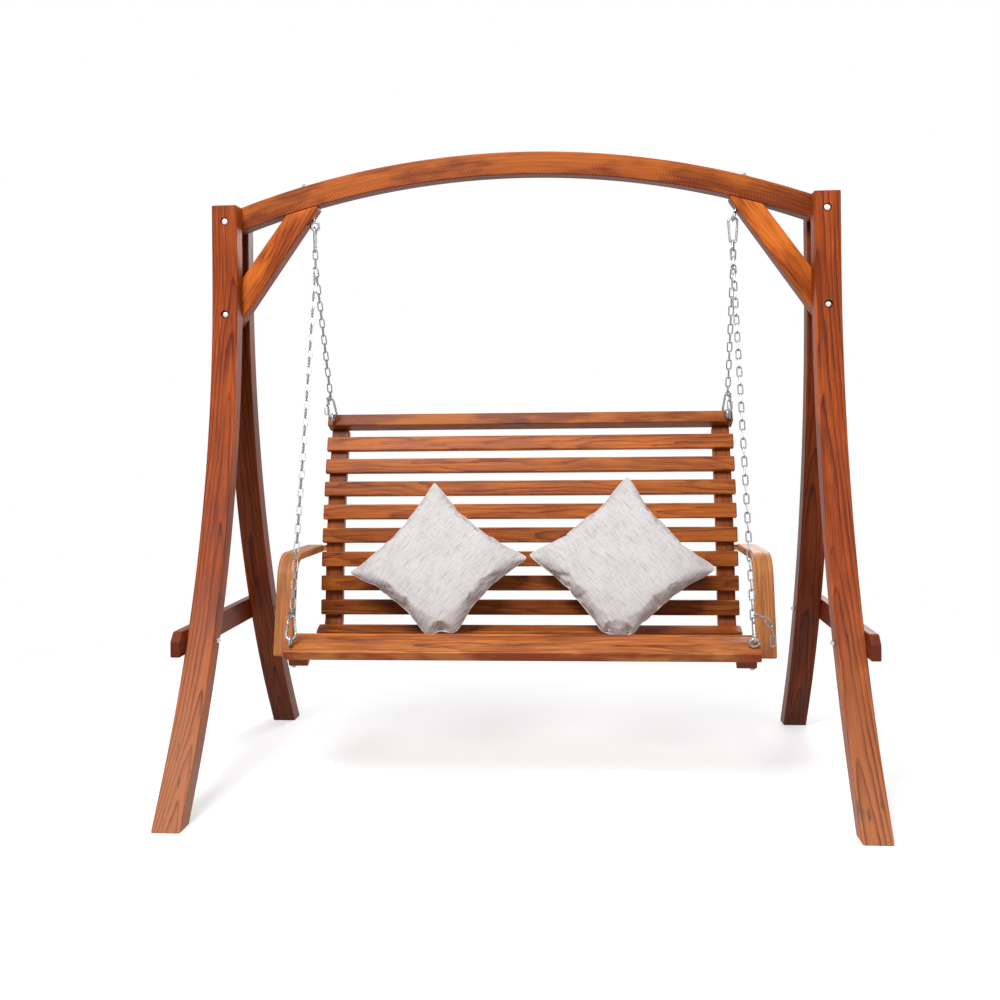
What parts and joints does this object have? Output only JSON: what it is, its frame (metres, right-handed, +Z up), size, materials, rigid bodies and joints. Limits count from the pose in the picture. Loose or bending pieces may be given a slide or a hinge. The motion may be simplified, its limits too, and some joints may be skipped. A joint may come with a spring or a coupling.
{
  "type": "hanging swing bench with stand",
  "caption": "Slatted wooden swing bench with curved armrests, hung by chains and snap hooks in a free-standing arched stand with curved legs, with loose square cushions.",
  "frame": {"origin": "on the floor under the middle of the stand", "axes": "+X to the right seen from the front, along the bench; -Y to the front; +Z up"},
  "size_m": [1.8762, 1.222, 1.808],
  "materials": {
    "leg_wood": "stained laminated softwood, satin",
    "beam_wood": "stained laminated softwood, satin",
    "stretcher_wood": "dark stained softwood, satin",
    "slat_wood": "stained softwood, satin",
    "front_rail_wood": "light stained softwood, satin",
    "frame_wood": "stained laminated softwood, satin",
    "armrest_wood": "light stained laminated softwood, satin",
    "zinc_steel": "zinc plated",
    "cushion_fabric": "coarse woven, light warm grey"
  },
  "bodies": {
    "stand": {"leg_front_left": "leg_wood", "leg_rear_left": "leg_wood", "brace_left": "leg_wood", "stretcher_left": "stretcher_wood", "post_bolt_upper_left": "zinc_steel", "post_bolt_lower_left": "zinc_steel", "stretcher_bolt_front_left": "zinc_steel", "stretcher_bolt_rear_left": "zinc_steel", "eye_bolt_upper_left": "zinc_steel", "leg_front_right": "leg_wood", "leg_rear_right": "leg_wood", "brace_right": "leg_wood", "stretcher_right": "stretcher_wood", "post_bolt_upper_right": "zinc_steel", "post_bolt_lower_right": "zinc_steel", "stretcher_bolt_front_right": "zinc_steel", "stretcher_bolt_rear_right": "zinc_steel", "eye_bolt_upper_right": "zinc_steel", "cross_beam": "beam_wood"},
    "swing": {"side_frame_left": "frame_wood", "armrest_left": "armrest_wood", "eye_bolt_front_left": "zinc_steel", "eye_bolt_rear_left": "zinc_steel", "chain_front_left": "zinc_steel", "chain_rear_left": "zinc_steel", "hook_upper_left": "zinc_steel", "hook_front_left": "zinc_steel", "hook_rear_left": "zinc_steel", "side_frame_right": "frame_wood", "armrest_right": "armrest_wood", "eye_bolt_front_right": "zinc_steel", "eye_bolt_rear_right": "zinc_steel", "chain_front_right": "zinc_steel", "chain_rear_right": "zinc_steel", "hook_upper_right": "zinc_steel", "hook_front_right": "zinc_steel", "hook_rear_right": "zinc_steel", "back_slat_1": "slat_wood", "back_slat_2": "slat_wood", "back_slat_3": "slat_wood", "back_slat_4": "slat_wood", "back_slat_5": "slat_wood", "back_slat_6": "slat_wood", "back_slat_7": "slat_wood", "back_slat_8": "slat_wood", "seat_slat_1": "slat_wood", "seat_slat_2": "slat_wood", "seat_slat_3": "slat_wood", "seat_slat_4": "slat_wood", "seat_slat_5": "slat_wood", "front_rail": "front_rail_wood", "top_rail": "slat_wood"},
    "gate_upper_right": {"gate_upper_right": "zinc_steel"},
    "gate_upper_left": {"gate_upper_left": "zinc_steel"},
    "gate_rear_right": {"gate_rear_right": "zinc_steel"},
    "gate_rear_left": {"gate_rear_left": "zinc_steel"},
    "gate_front_right": {"gate_front_right": "zinc_steel"},
    "gate_front_left": {"gate_front_left": "zinc_steel"},
    "cushion_left": {"cushion_left": "cushion_fabric"},
    "cushion_right": {"cushion_right": "cushion_fabric"}
  },
  "joints": [
    {"name": "swing_hinge", "type": "hinge", "parent": "stand", "child": "swing", "pos_m": [0, 0, 1.602], "axis": [1, 0, 0], "range_deg": [-20, 20]},
    {"name": "gate_upper_right_hinge", "type": "hinge", "parent": "swing", "child": "gate_upper_right", "pos_m": [0.62338, 0, 1.54779], "axis": [0, -1, 0], "range_deg": [0, 22], "stiffness_Nm_per_rad": 0.02, "springref_deg": -17.19},
    {"name": "gate_upper_left_hinge", "type": "hinge", "parent": "swing", "child": "gate_upper_left", "pos_m": [-0.617, 0.00951, 1.54737], "axis": [1, 0, 0], "range_deg": [0, 22], "stiffness_Nm_per_rad": 0.02, "springref_deg": -17.19},
    {"name": "gate_rear_right_hinge", "type": "hinge", "parent": "swing", "child": "gate_rear_right", "pos_m": [0.62525, 0.19969, 1.08821], "axis": [0, 0.9122, 0.4098], "range_deg": [0, 22], "stiffness_Nm_per_rad": 0.02, "springref_deg": -17.19},
    {"name": "gate_rear_left_hinge", "type": "hinge", "parent": "swing", "child": "gate_rear_left", "pos_m": [-0.60868, 0.19796, 1.08739], "axis": [0, 0.897, 0.4421], "range_deg": [0, 22], "stiffness_Nm_per_rad": 0.02, "springref_deg": -17.19},
    {"name": "gate_front_right_hinge", "type": "hinge", "parent": "swing", "child": "gate_front_right", "pos_m": [0.6168, -0.33983, 0.48403], "axis": [1, 0.0014, 0.0046], "range_deg": [0, 22], "stiffness_Nm_per_rad": 0.02, "springref_deg": -17.19},
    {"name": "gate_front_left_hinge", "type": "hinge", "parent": "swing", "child": "gate_front_left", "pos_m": [-0.60868, -0.32248, 0.48232], "axis": [0, 0.9526, -0.3043], "range_deg": [0, 22], "stiffness_Nm_per_rad": 0.02, "springref_deg": -17.19},
    {"name": "cushion_left_lift", "type": "slide", "parent": "swing", "child": "cushion_left", "axis": [0, 0, 1], "range_m": [0, 0.3]},
    {"name": "cushion_right_lift", "type": "slide", "parent": "swing", "child": "cushion_right", "axis": [0, 0, 1], "range_m": [0, 0.3]}
  ]
}
